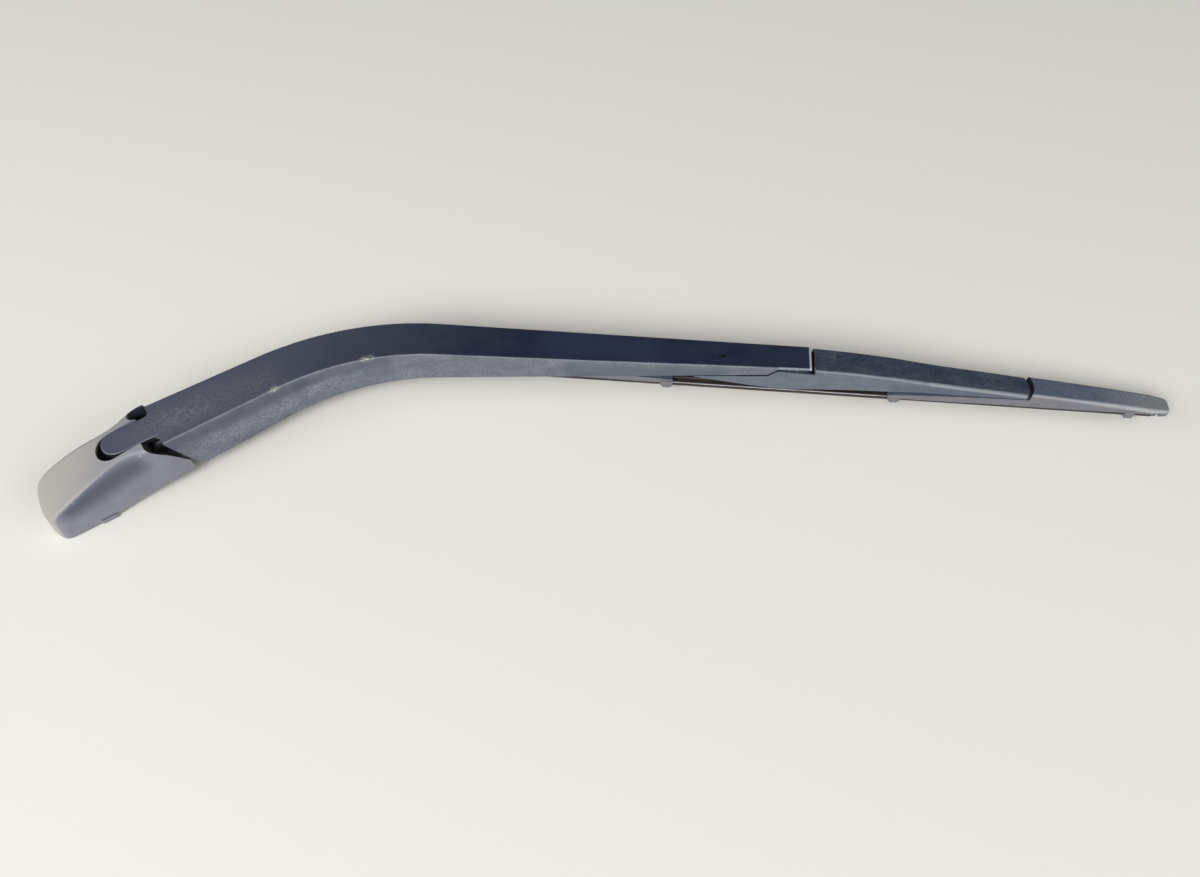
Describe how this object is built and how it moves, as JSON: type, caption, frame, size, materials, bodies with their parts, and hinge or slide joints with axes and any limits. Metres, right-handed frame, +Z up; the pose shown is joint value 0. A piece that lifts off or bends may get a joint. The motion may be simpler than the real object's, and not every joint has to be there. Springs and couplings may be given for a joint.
{
  "type": "wiper arm",
  "caption": "Cranked channel wiper arm with a capped spindle head, sprung lift hinge and a bridged blade with rocking yokes, steel rails and a rubber lip.",
  "frame": {"origin": "spindle axis on the underside of the hub, which is also the plane that the rubber lip rests on", "axes": "+X along the blade from the head towards its free end, +Z up, away from the glass"},
  "size_m": [0.4956, 0.1112, 0.0285],
  "materials": {
    "cast_hub": "die cast, dull",
    "cap_plastic": "moulded, sun faded to warm grey on top",
    "arm_plastic": "moulded glass-filled plastic, satin on top, grained and weathered on the sides",
    "blade_plastic": "moulded, weathered grey",
    "clip_plastic": "moulded",
    "bush_plastic": "moulded",
    "plated_steel": "zinc plated",
    "spring_steel": "drawn wire, oiled",
    "rail_steel": "rolled strip",
    "wiper_rubber": "moulded, cut edge"
  },
  "bodies": {
    "hub": {"hub": "cast_hub", "bush_near": "bush_plastic", "bush_far": "bush_plastic", "hook_pin": "plated_steel"},
    "cap": {"cap": "cap_plastic"},
    "arm": {"arm": "arm_plastic", "pivot_pin": "plated_steel", "anchor_pin": "plated_steel", "blade_pin": "plated_steel"},
    "link": {"spring_link": "plated_steel", "spring": "spring_steel"},
    "blade": {"bridge": "blade_plastic", "blade_clip": "clip_plastic", "rubber": "wiper_rubber", "flexor_near": "rail_steel", "flexor_far": "rail_steel"},
    "inner_yoke": {"inner_yoke": "blade_plastic", "yoke_pin_inner": "plated_steel"},
    "outer_yoke": {"outer_yoke": "blade_plastic", "yoke_pin_outer": "plated_steel"}
  },
  "joints": [
    {"name": "arm_lift", "type": "hinge", "parent": "hub", "child": "arm", "pos_m": [0.02875, 0.02329, 0.021], "axis": [0.6293, -0.7771, 0], "range_deg": [0, 42], "stiffness_Nm_per_rad": 1.5, "springref_deg": -28.65, "deforming": ["spring"]},
    {"name": "link_swing", "type": "hinge", "parent": "hub", "child": "link", "pos_m": [0.01399, 0.01133, 0.005], "axis": [0.6293, -0.7771, 0], "range_deg": [0, 29.4], "deforming": ["spring"]},
    {"name": "cap_pull", "type": "slide", "parent": "hub", "child": "cap", "axis": [-0.5184, -0.4198, 0.745], "range_m": [0, 0.04]},
    {"name": "blade_pivot", "type": "hinge", "parent": "arm", "child": "blade", "pos_m": [0.3, 0.084, 0.02], "axis": [0, 1, 0], "range_deg": [-4, 1.2]},
    {"name": "inner_yoke_rock", "type": "hinge", "parent": "blade", "child": "inner_yoke", "pos_m": [0.195, 0.084, 0.0132], "axis": [0, 1, 0], "range_deg": [-2.5, 2.5], "deforming": ["rubber", "flexor_near", "flexor_far"]},
    {"name": "outer_yoke_rock", "type": "hinge", "parent": "blade", "child": "outer_yoke", "pos_m": [0.405, 0.084, 0.0132], "axis": [0, 1, 0], "range_deg": [-2.5, 2.5], "deforming": ["rubber", "flexor_near", "flexor_far"]}
  ],
  "couplings": [
    {"joint": "link_swing", "follows": "arm_lift", "ratio": 0.698}
  ]
}
